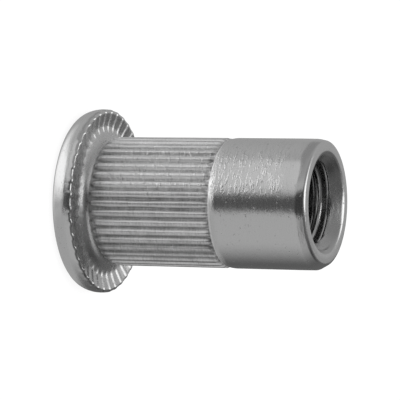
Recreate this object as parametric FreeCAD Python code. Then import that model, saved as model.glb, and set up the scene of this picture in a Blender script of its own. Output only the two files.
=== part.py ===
# Rivet nut with a flat head and a straight-knurled body, for an M5 screw.
# It is one cold-formed and plated steel piece, open at both ends: a screw passes the head
# and the thin sleeve, and runs in the thread of the thick end. The sleeve folds behind the
# sheet when a tool pulls the thread towards the head.
# Frame: millimetres, it stands on its head, the origin is the centre of the head's outer
# face, and +Z runs along the axis to the open threaded end.
import FreeCAD, Part
import math
import os

# Overall body
body_radius = 3.5
total_length = 13.9

# Head, with a bevel under its edge. The rounding of its outer face is drawn as narrow bevels,
# which stay within 0.01 mm of the arc.
head_radius = 5.0
head_thickness = 1.15
head_face_rounding = 0.5
head_rounding_bevels = 4
head_edge_bevel = 0.15

# Radial V grooves pressed into the underside of the head, which stop the nut turning
rib_count = 36
rib_inner_radius = 3.85
rib_depth = 0.15
rib_flat_share = 0.2
rib_first_angle = 4.0

# Bevelled step from the head's underside into the neck
neck_step_width = 0.4
neck_step_height = 0.35

# Straight knurl: rounded ridges side by side, with bevelled ends like finger tips
knurl_count = 40
knurl_depth = 0.2
knurl_root_cover = 0.01
knurl_start = 1.65
knurl_length = 6.9
knurl_end_bevel = 0.25
knurl_first_angle = 2.0

# Gap after the ridges, then a shoulder up to the smooth shank, rounded by two bevels
shoulder_gap = 0.1
shoulder_bevel = 0.06
shoulder_length = 0.33

# Chamfer round the threaded end
end_chamfer_length = 0.49
end_chamfer_depth = 0.2

# Plain bore through the head and the thin sleeve, which leaves this wall at the neck
sleeve_wall = 0.5
sleeve_bore_length = 8.55
sleeve_mouth_chamfer = 0.15

# M5 x 0.8 right-hand thread: 60 degree flanks with a sharp root, and the first groove starts
# in the sleeve's bore, this far below its end
thread_radius = 2.5
thread_minor_radius = 2.1
thread_pitch = 0.8
thread_start_depth = 0.505

# 90 degree countersink at the open end
mouth_radius = 2.69

# Sizes that follow from the ones above
neck_radius = body_radius - knurl_depth
sleeve_bore_radius = neck_radius - sleeve_wall
knurl_end = knurl_start + knurl_length
shoulder_start = knurl_end + shoulder_gap


def section_point(radius, height):
    """A point of the half section, in the XZ plane."""
    return FreeCAD.Vector(radius, 0, height)


def line(start, end):
    """A straight edge of the half section."""
    return Part.LineSegment(section_point(*start), section_point(*end)).toShape()


def bevelled_round(centre, radius, bevels):
    """A quarter round of the half section, from below its centre to the outside, as bevels."""
    points = []
    for index in range(bevels + 1):
        angle = math.radians(90.0 * index / bevels)
        across = centre[0] + radius * math.sin(angle)
        points.append((across, centre[1] - radius * math.cos(angle)))
    return [line(start, end) for start, end in zip(points, points[1:])]


def turned_body():
    """Head, neck, smooth shank and bores as one revolved section. The threaded bore has the
    thread's minor radius."""
    bore_mouth = sleeve_bore_radius + sleeve_mouth_chamfer
    face_edge = head_radius - head_face_rounding
    under_edge = head_radius - head_edge_bevel
    rim_top = head_thickness - head_edge_bevel
    step_edge = neck_radius + neck_step_width
    step_top = head_thickness + neck_step_height
    shoulder_edge = body_radius - shoulder_bevel
    shoulder_middle = shoulder_start + shoulder_length / 4
    shank_start = shoulder_start + shoulder_length
    chamfer_start = total_length - end_chamfer_length
    end_face_edge = body_radius - end_chamfer_depth
    countersink_end = total_length - (mouth_radius - thread_minor_radius)
    cone_end = sleeve_bore_length + (sleeve_bore_radius - thread_minor_radius)

    rounding_centre = (face_edge, head_face_rounding)
    rounding = bevelled_round(rounding_centre, head_face_rounding, head_rounding_bevels)
    edges = [line((bore_mouth, 0), (face_edge, 0))] + rounding + [
        line((head_radius, head_face_rounding), (head_radius, rim_top)),
        line((head_radius, rim_top), (under_edge, head_thickness)),
        line((under_edge, head_thickness), (step_edge, head_thickness)),
        line((step_edge, head_thickness), (neck_radius, step_top)),
        line((neck_radius, step_top), (neck_radius, shoulder_start)),
        line((neck_radius, shoulder_start), (shoulder_edge, shoulder_middle)),
        line((shoulder_edge, shoulder_middle), (body_radius, shank_start)),
        line((body_radius, shank_start), (body_radius, chamfer_start)),
        line((body_radius, chamfer_start), (end_face_edge, total_length)),
        line((end_face_edge, total_length), (mouth_radius, total_length)),
        line((mouth_radius, total_length), (thread_minor_radius, countersink_end)),
        line((thread_minor_radius, countersink_end), (thread_minor_radius, cone_end)),
        line((thread_minor_radius, cone_end), (sleeve_bore_radius, sleeve_bore_length)),
        line((sleeve_bore_radius, sleeve_bore_length), (sleeve_bore_radius, sleeve_mouth_chamfer)),
        line((sleeve_bore_radius, sleeve_mouth_chamfer), (bore_mouth, 0)),
    ]
    section = Part.Face(Part.Wire(edges))
    return section.revolve(FreeCAD.Vector(0, 0, 0), FreeCAD.Vector(0, 0, 1), 360)


def round_axis(shape, count, first_angle):
    """Copies of a shape, evenly spaced round the nut's axis."""
    copies = []
    for index in range(count):
        copy = shape.copy()
        angle = first_angle + index * 360.0 / count
        copy.rotate(FreeCAD.Vector(0, 0, 0), FreeCAD.Vector(0, 0, 1), angle)
        copies.append(copy)
    return copies


def knurl_ridge():
    """One rounded ridge with bevelled ends. Its round passes through the crest and through
    the two valleys that it shares with its neighbours."""
    valley = neck_radius + knurl_root_cover
    valley_reach = valley * math.cos(math.pi / knurl_count)
    crest_to_valley = body_radius**2 + valley**2 - 2 * body_radius * valley_reach
    radius = crest_to_valley / (2 * (body_radius - valley_reach))
    foot = section_point(body_radius - radius, knurl_start)
    bar = Part.makeCylinder(radius, knurl_length, foot, FreeCAD.Vector(0, 0, 1))

    # The bevels start on the neck and are drawn on past the crest, so that they clear it. The
    # half turn takes the ring's seam away from the ridge, which would be split along it.
    inner = neck_radius - radius
    outer = body_radius + radius
    rise = (outer - neck_radius) * knurl_end_bevel / knurl_depth
    envelope = Part.Wire([
        line((inner, knurl_start), (neck_radius, knurl_start)),
        line((neck_radius, knurl_start), (outer, knurl_start + rise)),
        line((outer, knurl_start + rise), (outer, knurl_end - rise)),
        line((outer, knurl_end - rise), (neck_radius, knurl_end)),
        line((neck_radius, knurl_end), (inner, knurl_end)),
        line((inner, knurl_end), (inner, knurl_start)),
    ])
    ring = Part.Face(envelope).revolve(FreeCAD.Vector(0, 0, 0), FreeCAD.Vector(0, 0, 1), 360)
    ring.rotate(FreeCAD.Vector(0, 0, 0), FreeCAD.Vector(0, 0, 1), 180)
    return bar.common(ring)


def rib_groove():
    """One radial V groove, as the cutter that leaves it. It widens outwards with the space
    between ribs, and stands above the head's underside by its own depth."""
    outlines = []
    for radius in (rib_inner_radius, head_radius + rib_depth):
        pitch = 2 * radius * math.tan(math.pi / rib_count)
        half_width = pitch * (1 - rib_flat_share) / 2
        bottom = FreeCAD.Vector(radius, 0, head_thickness - rib_depth)
        left = FreeCAD.Vector(radius, -2 * half_width, head_thickness + rib_depth)
        right = FreeCAD.Vector(radius, 2 * half_width, head_thickness + rib_depth)
        outlines.append(Part.makePolygon([bottom, right, left, bottom]))
    return Part.makeLoft(outlines, True, True)


def thread_groove():
    """The V between the thread's turns, as the cutter that leaves it: one section swept up a
    helix, from inside the sleeve's bore to above the open end."""
    start = sleeve_bore_length - thread_start_depth
    above = total_length + thread_pitch / 2
    reach = thread_radius - thread_minor_radius + thread_pitch / 8
    mouth = reach * math.tan(math.radians(30))
    inside = thread_radius - reach
    helix = Part.makeLongHelix(thread_pitch, above - start, thread_radius)
    helix.translate(FreeCAD.Vector(0, 0, start))
    section = Part.makePolygon([
        section_point(thread_radius, start),
        section_point(inside, start + mouth),
        section_point(inside, start - mouth),
        section_point(thread_radius, start),
    ])
    sweep = Part.BRepOffsetAPI.MakePipeShell(Part.Wire(helix.Edges))
    sweep.setFrenetMode(True)
    sweep.add(section)
    sweep.build()
    sweep.makeSolid()
    return sweep.shape()


def rivet_nut():
    """The whole nut as one solid."""
    groove_angle = rib_first_angle + 180.0 / rib_count
    nut = turned_body().cut(thread_groove())
    nut = nut.cut(round_axis(rib_groove(), rib_count, groove_angle))
    nut = nut.fuse(round_axis(knurl_ridge(), knurl_count, knurl_first_angle))
    return nut.removeSplitter().Solids[0]


nut = rivet_nut()
print("solids", len(nut.Solids), "faces", len(nut.Faces), "valid", nut.isValid())
print("volume", round(nut.Volume, 3), "box", nut.BoundBox)

os.makedirs("parts", exist_ok=True)
nut.exportStep("parts/rivet_nut.step")
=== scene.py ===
import bmesh
import bpy
from math import atan2, cos, degrees, hypot, pi, radians, sin
from mathutils import Matrix, Vector, noise


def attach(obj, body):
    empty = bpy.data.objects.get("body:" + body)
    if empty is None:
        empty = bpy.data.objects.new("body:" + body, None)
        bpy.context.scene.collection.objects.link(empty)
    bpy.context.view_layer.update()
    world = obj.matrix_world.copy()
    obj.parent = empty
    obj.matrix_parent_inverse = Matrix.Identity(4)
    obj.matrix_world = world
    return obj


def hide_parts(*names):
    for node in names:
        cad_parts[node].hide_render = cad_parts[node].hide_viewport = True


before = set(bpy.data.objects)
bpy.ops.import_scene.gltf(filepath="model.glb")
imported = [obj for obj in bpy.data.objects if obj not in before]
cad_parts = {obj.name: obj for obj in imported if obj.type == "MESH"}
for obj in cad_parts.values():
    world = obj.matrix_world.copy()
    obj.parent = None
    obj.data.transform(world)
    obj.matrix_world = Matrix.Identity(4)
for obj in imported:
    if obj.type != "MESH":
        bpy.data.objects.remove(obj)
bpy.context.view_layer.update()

# The rivet nut: one cold-formed steel piece, bright zinc plated. It is turned round one
# axis, the ridges of its sleeve are rolled in, the V grooves under the head are pressed in,
# and the thread is tapped last. Sizes are millimetres, up from the head's outer face.

MM = 0.001
HEAD_RADIUS = 5.0
BODY_RADIUS = 3.5
NECK_RADIUS = 3.3
SLEEVE_BORE = 2.80
SLEEVE_BORE_END = 8.55
MOUTH_RADIUS = 2.69
TOTAL_LENGTH = 13.9

# The skin is made in four parts. Two meet at the neck, and narrow gaps are bridged between
# the others: in the bore, on the shank and in the mouth.
NECK_SEAM = 1.52
BORE_GAP = (8.60, 8.67)
SHANK_GAP = (9.20, 9.24)
MOUTH_GAP = (13.74, 13.79)

# The rim is a quarter ellipse, which ends in the small round of the edge under the head.
CROWN_WIDTH = 0.50
CROWN_HEIGHT = 0.94
CROWN_TURNS = (-90, -84, -78, -70, -60, -50, -40, -30, -20, -10, 0)
EDGE_ROUNDING = 0.19
EDGE_HEIGHT = 1.275
EDGE_TURNS = range(16, 81, 8)


def arc(wide, high, middle, turns):
    """Corners of the section along an arc that touches the head's radius, each by its turn
    from straight out towards the mouth."""
    across = HEAD_RADIUS - wide
    return tuple((across + wide * cos(radians(turn)), middle + high * sin(radians(turn)), 0, 0)
                 for turn in turns)


# Half section of the outside, from inside the sleeve, round the head, to the mouth. Each
# corner is its radius, its height, the size of its rounding and the steps in that.
HEAD_SECTION = (
    (2.75, BORE_GAP[0], 0, 0),
    (SLEEVE_BORE, SLEEVE_BORE_END, 0, 0),
    (SLEEVE_BORE, 0.15, 0.03, 2),
    (2.95, 0.00, 0.03, 2),
    *arc(CROWN_WIDTH, CROWN_HEIGHT, CROWN_HEIGHT, CROWN_TURNS),
    *arc(EDGE_ROUNDING, EDGE_ROUNDING, EDGE_HEIGHT - EDGE_ROUNDING, EDGE_TURNS),
    (4.805, 1.27, 0, 0),
    (4.20, 1.10, 0.10, 2),
    (3.92, 1.06, 0.16, 3),
    (3.66, 1.12, 0.08, 2),
    (3.42, 1.28, 0.06, 2),
    (3.33, 1.40, 0.05, 2),
    (NECK_RADIUS, NECK_SEAM, 0, 0),
)
KNURL_SECTION = (
    (NECK_RADIUS, NECK_SEAM, 0, 0),
    (NECK_RADIUS, 2.10, 0, 0),
    (NECK_RADIUS, 8.10, 0, 0),
    (3.31, 8.42, 0, 0),
    (3.42, 8.47, 0, 0),
    (3.465, 8.60, 0.06, 2),
    (BODY_RADIUS, 8.84, 0.07, 3),
    (BODY_RADIUS, SHANK_GAP[0], 0, 0),
)
END_SECTION = (
    (BODY_RADIUS, SHANK_GAP[1], 0, 0),
    (BODY_RADIUS, 12.70, 0.30, 2),
    (3.492, 13.42, 0.07, 4),
    (3.31, 13.89, 0.13, 6),
    (3.05, TOTAL_LENGTH, 0.12, 3),
    (MOUTH_RADIUS, TOTAL_LENGTH, 0.13, 6),
    (2.58, MOUTH_GAP[1], 0, 0),
)

# How long the mesh's steps are along the section, from a radius and a height on: short where
# the shape changes. The first line that fits counts.
MESH_STEPS = (
    (0, 9.0, 0.8),      # smooth end
    (0, 8.65, 0.2),     # top of the shoulder
    (0, 8.1, 0.055),    # upper tips of the ridges
    (0, 2.1, 0.7),      # straight ridges
    (0, 1.45, 0.055),   # lower tips of the ridges
    (3.9, 1.1, 0.1),    # underside of the head
)
PLAIN_STEP = 3.0


def mesh_step(radius, height):
    """The step's length at a place on the section."""
    for inner, bottom, step in MESH_STEPS:
        if radius > inner and height > bottom:
            return step
    return PLAIN_STEP


def subdivide(skin, edge, step):
    """Cuts an edge into steps of about this length."""
    cuts = int(edge.calc_length() / step)
    if cuts:
        bmesh.ops.subdivide_edges(skin, edges=[edge], cuts=cuts)


def round_corner(skin, corner, size, steps):
    """Rounds a corner of a section."""
    bmesh.ops.bevel(skin, geom=[corner], offset=size, offset_type="OFFSET", segments=steps,
                    profile=0.5, affect="VERTICES", material=-1)


def sweep(skin, angle, rise, steps):
    """Spins a section round the nut's axis, and lifts it a little with each step."""
    bmesh.ops.spin(skin, geom=skin.verts[:] + skin.edges[:], cent=(0, 0, 0), axis=(0, 0, 1),
                   dvec=(0, 0, rise), angle=angle, steps=steps, use_merge=False)


# Points nearer than these are the same: on one skin, and where two of them meet.
SAME_POINT = 0.0005
SAME_ON_SEAM = 0.0008


def repeat(skin, count, move):
    """Copies a skin's first piece again and again, each copy moved once more, and joins them."""
    first = skin.verts[:] + skin.edges[:] + skin.faces[:]
    for number in range(1, count):
        copy = bmesh.ops.duplicate(skin, geom=first)["geom"]
        copied = [part for part in copy if isinstance(part, bmesh.types.BMVert)]
        bmesh.ops.transform(skin, verts=copied, matrix=move(number))
    bmesh.ops.remove_doubles(skin, verts=skin.verts, dist=SAME_POINT)


# The circle is spun as equal sectors, one for each ridge and each groove.
SECTORS = 40
RIBBED_STEPS = 18
SMOOTH_STEPS = 9


def turn(section, steps):
    """Draws a half section, rounds its corners and cuts its lines into steps. Then it is spun
    through one sector of the circle, which is repeated all round."""
    skin = bmesh.new()
    corners = [skin.verts.new((radius, 0, height)) for radius, height, _, _ in section]
    for pair in zip(corners, corners[1:]):
        skin.edges.new(pair)
    for corner, (_, _, rounding, rounds) in zip(corners, section):
        if rounding:
            round_corner(skin, corner, rounding, rounds)
    for edge in list(skin.edges):
        middle = (edge.verts[0].co + edge.verts[1].co) / 2
        subdivide(skin, edge, mesh_step(middle.x, middle.z))
    sector = 2 * pi / SECTORS
    sweep(skin, sector, 0, steps)
    repeat(skin, SECTORS, lambda number: Matrix.Rotation(sector * number, 4, "Z"))
    return skin


# Thread of an M5 screw: its turns are 0.8 mm apart, its flanks stand at 30 degrees, and its
# corners are worn round. The first turn starts inside the sleeve, below the thread's cone.
PITCH = 0.8
FIRST_ROOT = 8.045 - PITCH
MINOR_RADIUS = 2.067
ROOT_RADIUS = 2.5
FLANK_SLOPE = 0.5774
FLANK_RISE = (ROOT_RADIUS - MINOR_RADIUS) * FLANK_SLOPE
CREST_FLAT = 0.2
HALF_ROOT = PITCH / 2 - CREST_FLAT / 2 - FLANK_RISE
CORNER_ROUNDING = 0.075
TOOTH_STEP = 0.2
THREAD_TURNS = 9
THREAD_STEPS = 160
CUT_REACH = 0.0001


def cut_thread():
    """Runs one tooth of the thread up its helix and trims it to the bore's two cones."""
    tap = bmesh.new()
    tooth = [tap.verts.new((radius, 0, FIRST_ROOT + height)) for radius, height in (
        (ROOT_RADIUS, 0),
        (ROOT_RADIUS, HALF_ROOT),
        (MINOR_RADIUS, HALF_ROOT + FLANK_RISE),
        (MINOR_RADIUS, HALF_ROOT + FLANK_RISE + CREST_FLAT),
        (ROOT_RADIUS, PITCH - HALF_ROOT),
        (ROOT_RADIUS, PITCH),
    )]
    for pair in zip(tooth, tooth[1:]):
        tap.edges.new(pair)
    for corner in tooth[1:-1]:
        round_corner(tap, corner, CORNER_ROUNDING, 2)
    for edge in list(tap.edges):
        subdivide(tap, edge, TOOTH_STEP)
    sweep(tap, 2 * pi, PITCH / THREAD_STEPS, THREAD_STEPS)
    repeat(tap, THREAD_TURNS, lambda number: Matrix.Translation((0, 0, PITCH * number)))
    # the countersink widens the mouth, and a cone leads from the sleeve's bore to the thread
    for vert in tap.verts:
        countersink = MOUTH_RADIUS - (TOTAL_LENGTH - vert.co.z)
        cone = SLEEVE_BORE - (vert.co.z - SLEEVE_BORE_END)
        radius = max(hypot(vert.co.x, vert.co.y), countersink, cone)
        vert.co.xy = vert.co.xy.normalized() * radius
    for height, side in ((MOUTH_GAP[0], 1), (BORE_GAP[1], -1)):
        bmesh.ops.bisect_plane(tap, geom=tap.verts[:] + tap.edges[:] + tap.faces[:],
                               dist=CUT_REACH, plane_co=(0, 0, height), plane_no=(0, 0, side),
                               clear_outer=True)
    return tap


def step_up(value, start, end):
    """Rises smoothly from 0 at start to 1 at end."""
    t = min(max((value - start) / (end - start), 0), 1)
    return t * t * (3 - 2 * t)


# V grooves under the head. Their flanks run between these shares of the half pitch. They
# deepen outwards, run out down the rim, and are fainter on the side where the punch pressed
# less.
GROOVES = 40
GROOVE_ANGLE = 0.7
GROOVE_DEPTH = 0.05
GROOVE_FLANK = (0.88, 0.42)
GROOVE_START = BODY_RADIUS
GROOVE_FULL = GROOVE_START + 0.7
GROOVE_RUN_OUT = (0.6, 0.95)
FAINT_SHARE = 0.45
FAINT_SIDE = 3


def press_grooves(skin):
    """Sinks the V grooves under the head, wider outwards, and out through its edge."""
    pitch = 360 / GROOVES
    for vert in skin.verts:
        radius = hypot(vert.co.x, vert.co.y)
        if radius < GROOVE_START or vert.co.z > NECK_SEAM:
            continue
        angle = degrees(atan2(vert.co.y, vert.co.x))
        across = abs((angle - GROOVE_ANGLE + pitch / 2) % pitch - pitch / 2) / (pitch / 2)
        depth = GROOVE_DEPTH * step_up(across, *GROOVE_FLANK)
        depth *= step_up(radius, GROOVE_START, GROOVE_FULL)
        depth *= 1 - FAINT_SHARE * step_up(vert.co.y, 0, FAINT_SIDE)
        vert.co.z -= depth * step_up(vert.co.z, *GROOVE_RUN_OUT)


# Ridges of the sleeve: how many, where the first stands, and their shape. Each is uneven
# along its length, and starts and ends in its own place.
RIDGES = 40
RIDGE_ANGLE = 2.0
RIDGE_START = 1.55
RIDGE_END = 8.57
RIDGE_HEIGHT = 0.2
RIDGE_HALF = 0.262
RIDGE_TOP = 0.97
RIDGE_CROWN = 0.25
FLANK_WIDTH = 0.19
FLANK_FOOT = -0.03
TIP_STRETCH = 1.8
TIP_WANDER = 0.05
UNEVEN = 0.03
SLEEVE_SKIN = (3.2, NECK_RADIUS + 0.17)


def waver(ridge, spread, place, seed):
    """How far one ridge is off at a place along it, about -1 to 1."""
    return noise.noise(Vector((ridge * spread, place, seed)))


def press_ridges(skin):
    """Raises the ridges of the sleeve: flat on top, with steep flanks and round tips."""
    pitch = 360 / RIDGES
    tip = RIDGE_HALF * TIP_STRETCH
    for vert in skin.verts:
        radius = hypot(vert.co.x, vert.co.y)
        height = vert.co.z
        on_skin = SLEEVE_SKIN[0] < radius < SLEEVE_SKIN[1]
        if not on_skin or not RIDGE_START < height < RIDGE_END:
            continue
        angle = degrees(atan2(vert.co.y, vert.co.x))
        ridge = round((angle - RIDGE_ANGLE) / pitch)
        across = radians(angle - RIDGE_ANGLE - ridge * pitch) * BODY_RADIUS
        own = ridge % RIDGES
        end = RIDGE_END - TIP_WANDER * waver(own, 3.7, 0.3, 8.1)
        start = RIDGE_START + TIP_WANDER * waver(own, 2.3, 4.3, 1.1)
        middle = min(max(height, start + tip), end - tip)
        uneven = UNEVEN * waver(own, 5.1, height * 0.9, 2.7)
        inside = RIDGE_HALF - hypot(across, (height - middle) / TIP_STRETCH)
        rise = step_up(inside + uneven, FLANK_FOOT, FLANK_WIDTH)
        crown = 1 - RIDGE_CROWN * (across / RIDGE_HALF)**2
        grown = NECK_RADIUS + RIDGE_HEIGHT * rise * crown * (RIDGE_TOP + uneven)
        vert.co.xy = vert.co.xy.normalized() * max(radius, grown)


RIM_REACH = 0.003


def rim(skin, height):
    """The open edges of the skin that lie at a height."""
    return [edge for edge in skin.edges if edge.is_boundary
            and all(abs(vert.co.z - height) < RIM_REACH for vert in edge.verts)]


def add_skin(nut, skin):
    """Puts a finished skin into the nut's mesh."""
    scratch = bpy.data.meshes.new("skin")
    skin.to_mesh(scratch)
    nut.from_mesh(scratch)
    bpy.data.meshes.remove(scratch)
    skin.free()


# The end chamfer was turned this far off the axis, so one side of the edge is sharper. It
# comes in over these heights.
CHAMFER_SHIFT = 0.06
CHAMFER_FOOT = (13.40, 13.70)
SHARP_ANGLE = radians(32)

nut = bmesh.new()
add_skin(nut, turn(HEAD_SECTION, RIBBED_STEPS))
add_skin(nut, turn(KNURL_SECTION, RIBBED_STEPS))
add_skin(nut, turn(END_SECTION, SMOOTH_STEPS))
add_skin(nut, cut_thread())
bmesh.ops.remove_doubles(nut, verts=nut.verts, dist=SAME_ON_SEAM)
for low, high in (SHANK_GAP, MOUTH_GAP, BORE_GAP):
    bmesh.ops.bridge_loops(nut, edges=rim(nut, low) + rim(nut, high))
press_grooves(nut)
press_ridges(nut)
for vert in nut.verts:
    vert.co.x -= CHAMFER_SHIFT * step_up(vert.co.z, *CHAMFER_FOOT)
bmesh.ops.recalc_face_normals(nut, faces=nut.faces)
for face in nut.faces:
    face.smooth = True
for edge in nut.edges:
    edge.smooth = edge.calc_face_angle(0) < SHARP_ANGLE
bmesh.ops.scale(nut, verts=nut.verts, vec=(MM, MM, MM))
mesh = bpy.data.meshes.new("plated_nut")
nut.to_mesh(mesh)
nut.free()
plated_nut = bpy.data.objects.new("plated_nut", mesh)
bpy.context.collection.objects.link(plated_nut)


class Wire:
    """An output socket of a node, so that shader maths reads as Python."""

    def __init__(self, tree, socket=None):
        self.tree = tree
        self.socket = socket

    def make(self, kind, settings=None, inputs=None, output=0):
        """Adds a node: its settings first, then the values or links of its sockets."""
        node = self.tree.nodes.new("ShaderNode" + kind)
        for name, value in (settings or {}).items():
            setattr(node, name, value)
        for name, value in (inputs or {}).items():
            if isinstance(value, Wire):
                self.tree.links.new(value.socket, node.inputs[name])
            else:
                node.inputs[name].default_value = value
        return Wire(self.tree, node.outputs[output] if node.outputs else None)

    def maths(self, operation, *values):
        return self.make("Math", {"operation": operation}, dict(enumerate(values)))

    def __add__(self, other):
        return self.maths("ADD", self, other)

    def __sub__(self, other):
        return self.maths("SUBTRACT", self, other)

    def __rsub__(self, other):
        return self.maths("SUBTRACT", other, self)

    def __mul__(self, other):
        return self.maths("MULTIPLY", self, other)

    def __truediv__(self, other):
        return self.maths("DIVIDE", self, other)

    def __pow__(self, other):
        return self.maths("POWER", self, other)

    def __abs__(self):
        return self.maths("ABSOLUTE", self)

    __radd__ = __add__
    __rmul__ = __mul__

    def fade(self, start, end, low=0.0, high=1.0):
        """Changes smoothly from low at start to high at end."""
        return self.make("MapRange", {"interpolation_type": "SMOOTHSTEP"},
                         {"Value": self, "From Min": start, "From Max": end,
                          "To Min": low, "To Max": high})

    def grain(self, stretch, detail, roughness):
        """Noise on this vector, with its own number of cells per millimetre each way."""
        cells = tuple(each / MM for each in stretch)
        place = self.make("Mapping", {}, {"Vector": self, "Scale": cells})
        return self.make("TexNoise", {}, {"Vector": place, "Scale": 1.0, "Detail": detail,
                                          "Roughness": roughness})

    def grey(self):
        """This value as a colour."""
        return self.make("CombineColor", {}, {"Red": self, "Green": self, "Blue": self})


PLATE_TONE = 0.80
PLATE_ROUGHNESS = 0.13
BUMP_DEPTH = 0.009

plating = bpy.data.materials.new("bright_zinc_plate")
plating.use_nodes = True
plating.node_tree.nodes.clear()
wires = Wire(plating.node_tree)
place = wires.make("TexCoord", output=3)
x, y, z = (wires.make("SeparateXYZ", {}, {0: place}, axis) / MM for axis in range(3))
radius = (x * x + y * y) ** 0.5

# where the piece has its own look, and where shade and highlights are painted, in millimetres
on_sleeve = z.fade(1.5, 1.6) * z.fade(8.60, 8.54)
# painted shade: the valleys between the ridges are darkened; they are also rougher
shaded_valley = on_sleeve * radius.fade(3.40, 3.34)
# painted highlight: a lighter band round each ridge's top edges and round tips, below its grey
# crest
ridge_edge_highlight = on_sleeve * radius.fade(3.38, 3.43) * radius.fade(3.49, 3.46)
under_head = z.fade(1.0, 1.06) * radius.fade(4.85, 4.75) * z.fade(1.62, 1.45)
# painted shade: deep in the bore the plate is much darker
shaded_bore = radius.fade(2.9, 2.75) * z.fade(12.9, 11.8)
# painted shade: inside the mouth the countersink and first turns are darker; they are also
# rougher
shaded_mouth = radius.fade(2.67, 2.60) * z.fade(12.9, 13.3)

# crystals of the zinc, soft waves of the steel under it, stains, pits and rougher zones
fine = place.grain((2.2, 2.2, 9.0), 4.0, 0.65)
coarse = place.grain((0.8, 0.8, 2.0), 3.0, 0.55)
blotch = place.grain((1.6, 1.6, 1.1), 3.0, 0.6)
pits = place.grain((5.0, 5.0, 7.0), 2.0, 0.5).fade(0.64, 0.74)
rough_zone = place.grain((0.35, 0.35, 0.35), 2.0, 0.5).fade(0.4, 0.62)

# the side that rubbed against other nuts is scuffed, in short strokes round the body; the same
# patch is also painted lighter, a painted highlight where the panel beside the camera shines
scuffs_and_highlight = x.fade(-0.3, -0.9) * x.fade(-3.0, -2.3) * y.fade(-1.4, -2.2)
scuffs_and_highlight = scuffs_and_highlight * z.fade(2, 3) * z.fade(12.9, 12.0)
strokes = place.grain((1.5, 1.5, 5.0), 3.0, 0.7).fade(0.5, 0.66)

height = fine * (0.5 + 1.4 * on_sleeve + 0.5 * rough_zone + under_head)
height = height + coarse * 1.2 - pits * 0.35 + strokes * scuffs_and_highlight * 2.4

# blotchy stains, plus painted light: a painted highlight on the scuffed patch and painted shade
# on the +X side of the sleeve
stains_and_painted_light = (blotch - 0.5) * 0.5 + (fine - 0.5) * 0.5 + 0.16 * scuffs_and_highlight - 0.14 * x.fade(1.2, 2.6)
# the plate's tone, with painted shade in the valleys, deep in the bore and in the mouth, and
# painted highlights round the ridges' edges and on the scuffed patch
tone = PLATE_TONE - 0.22 * shaded_valley + 0.2 * ridge_edge_highlight + 0.04 * on_sleeve - 0.12 * pits
tone = tone + 0.05 * fine - 0.5 * shaded_bore - 0.18 * shaded_mouth + 0.08 * scuffs_and_highlight
tone = tone + on_sleeve * stains_and_painted_light

roughness = PLATE_ROUGHNESS + 0.10 * fine + 0.08 * shaded_valley + 0.15 * pits + 0.12 * on_sleeve
roughness = roughness + 0.06 * shaded_mouth + 0.10 * under_head

shader = wires.make("BsdfPrincipled", {}, {
    "Base Color": tone.grey(),
    "Metallic": 1.0,
    "Roughness": roughness,
    "Normal": wires.make("Bump", {}, {"Height": height, "Distance": BUMP_DEPTH * MM,
                                      "Strength": 1.0}),
})
wires.make("OutputMaterial", {}, {"Surface": shader})
mesh.materials.append(plating)

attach(plated_nut, "root")
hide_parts("rivet_nut")

# The studio: a glowing pale floor and a broad light above it. Round the nut stands a light
# tent with soft panels and dark gaps, as its bright metal mirrors them.

FLOOR_HALF = 2.0
FLOOR_COLOUR = (0.12, 0.12, 0.12, 1)
FLOOR_ROUGHNESS = 0.9
FLOOR_GLOW = 0.90
LAMP_ENERGY = 3.0
LAMP_ANGLE = radians(70)

floor_mesh = bpy.data.meshes.new("floor")
plane = bmesh.new()
bmesh.ops.create_grid(plane, x_segments=1, y_segments=1, size=FLOOR_HALF)
plane.to_mesh(floor_mesh)
plane.free()
floor = bpy.data.objects.new("floor", floor_mesh)
bpy.context.collection.objects.link(floor)
floor.visible_glossy = False
light_table = bpy.data.materials.new("light_table")
light_table.use_nodes = True
table_shader = light_table.node_tree.nodes["Principled BSDF"]
table_shader.inputs["Base Color"].default_value = FLOOR_COLOUR
table_shader.inputs["Roughness"].default_value = FLOOR_ROUGHNESS
table_shader.inputs["Specular IOR Level"].default_value = 0.0
table_shader.inputs["Emission Color"].default_value = (1, 1, 1, 1)
table_shader.inputs["Emission Strength"].default_value = FLOOR_GLOW
floor_mesh.materials.append(light_table)

overhead = bpy.data.lights.new("overhead", "SUN")
overhead.energy = LAMP_ENERGY
overhead.angle = LAMP_ANGLE
overhead_lamp = bpy.data.objects.new("overhead", overhead)
overhead_lamp.visible_glossy = False
bpy.context.collection.objects.link(overhead_lamp)

CLOTH_LIGHT = 0.42

tent = bpy.data.worlds.new("light_tent")
tent.use_nodes = True
tent.node_tree.nodes.clear()
sky = Wire(tent.node_tree)
direction = sky.make("TexCoord", output=0)
side, away, up = (sky.make("SeparateXYZ", {}, {0: direction}, axis) for axis in range(3))


def panel(light, mask, level):
    """Lays a panel of one brightness over the light of the tent."""
    return light + mask * (level - light)


def spot(centre, inner, outer):
    """A round panel: full inside one angle from its middle, gone at another."""
    centre = Vector(centre).normalized()
    near = side * centre.x + away * centre.y + up * centre.z
    return near.fade(cos(radians(outer)), cos(radians(inner)))


# the cloth of the tent, a little darker behind the nut and high on the -X side
light = panel(CLOTH_LIGHT, away.fade(0.2, 0.9), 0.36)
light = panel(light, side.fade(-0.5, -0.8) * up.fade(0.0, 0.25), 0.32)
# the +X side, which the camera has at the bottom, is darker behind the nut and overhead
light = panel(light, side.fade(0.0, 0.35) * away.fade(-0.35, 0.75), 0.10)
light = panel(light, side.fade(0.0, 0.12) * away.fade(0.6, 0.85), 0.12)
light = panel(light, side.fade(0.3, 0.55) * up.fade(0.3, 0.6), 0.05)
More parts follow.
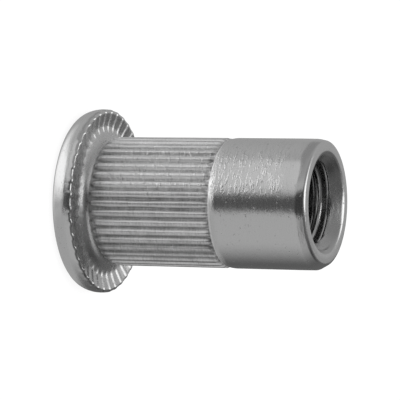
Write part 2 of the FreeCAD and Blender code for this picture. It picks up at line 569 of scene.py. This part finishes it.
# dark overhead on the near side, then low down at +X and level with the nut at -X
light = panel(light, up.fade(0.45, 0.6) * away.fade(0.45, 0.1),
              side.fade(-0.2, -0.5, 0.12, 0.26))
light = panel(light, side.fade(0.0, 0.15) * up.fade(-0.42, -0.6), 0.39)
light = panel(light, side.fade(-0.55, -0.7) * up.fade(-0.35, -0.25) * up.fade(0.25, 0.1), 0.26)
# a brighter panel in front, to the side of the camera
light = panel(light, spot((-0.72, -0.56, -0.38), 24, 30), 0.56)
# a dark strip under the horizon, and below it the low panel
light = panel(light, up.fade(-0.388, -0.41) * side.fade(0.14, 0.06) * away.fade(0.1, -0.1),
              side.fade(-0.1, -0.6, 0.03, 0.42))
low_panel = side.fade(0.30, -0.35) * side.fade(-0.85, -0.6) * up.fade(-0.52, -0.58)
light = panel(light, low_panel * away.fade(0.6, 0.0), 1.08)
# the gap that the camera looks through, wider towards the top
gap = (0.30 + 0.2 * up - abs(side)).fade(-0.02, 0.04) * up.fade(-0.60, -0.57)
light = panel(light, gap * up.fade(0.8, 0.5) * away.fade(0.1, -0.1),
              up.fade(-0.4, 0.3, 0.08, 0.04))
# soft box overhead, towards the far side
soft_box = spot((-0.20, 0.25, 0.95), 24, 32)
light = panel(light, soft_box * side.fade(0.14, 0.06) * side.fade(-0.42, -0.2), 1.3)
background = sky.make("Background", {}, {"Color": light.grey(), "Strength": 1.0})
sky.make("OutputWorld", {}, {"Surface": background})
bpy.context.scene.world = tent

# The camera, from the photograph: on the -Y side, 22.6 degrees above the floor and rolled
# a quarter turn, so that the nut lies with its head to the left.

TARGET = Vector((0, 0, 6.75))
ELEVATION = radians(22.6)
ROLL = radians(0.953)
DISTANCE = 169.9
PIXELS_PER_MM = 18.568
PHOTO_SIDE = 400
OFF_CENTRE = (2.19, 2.63)
SENSOR_WIDTH = 36
NEAREST = 1.0

back = Vector((0, -cos(ELEVATION), sin(ELEVATION)))
along = Vector((0, sin(ELEVATION), cos(ELEVATION)))
upward = Vector((-1, 0, 0))
right = cos(ROLL) * along + sin(ROLL) * upward
top = -sin(ROLL) * along + cos(ROLL) * upward
look_at = TARGET + (top * OFF_CENTRE[1] - right * OFF_CENTRE[0]) / PIXELS_PER_MM
lens = bpy.data.cameras.new("camera")
lens.sensor_width = SENSOR_WIDTH
lens.lens = SENSOR_WIDTH * DISTANCE * PIXELS_PER_MM / PHOTO_SIDE
lens.clip_start = NEAREST * MM
camera = bpy.data.objects.new("camera", lens)
turned = Matrix((right, top, back)).transposed().to_4x4()
camera.matrix_world = Matrix.Translation((look_at + back * DISTANCE) * MM) @ turned
bpy.context.collection.objects.link(camera)
bpy.context.scene.camera = camera
bpy.context.scene.view_settings.view_transform = "Standard"
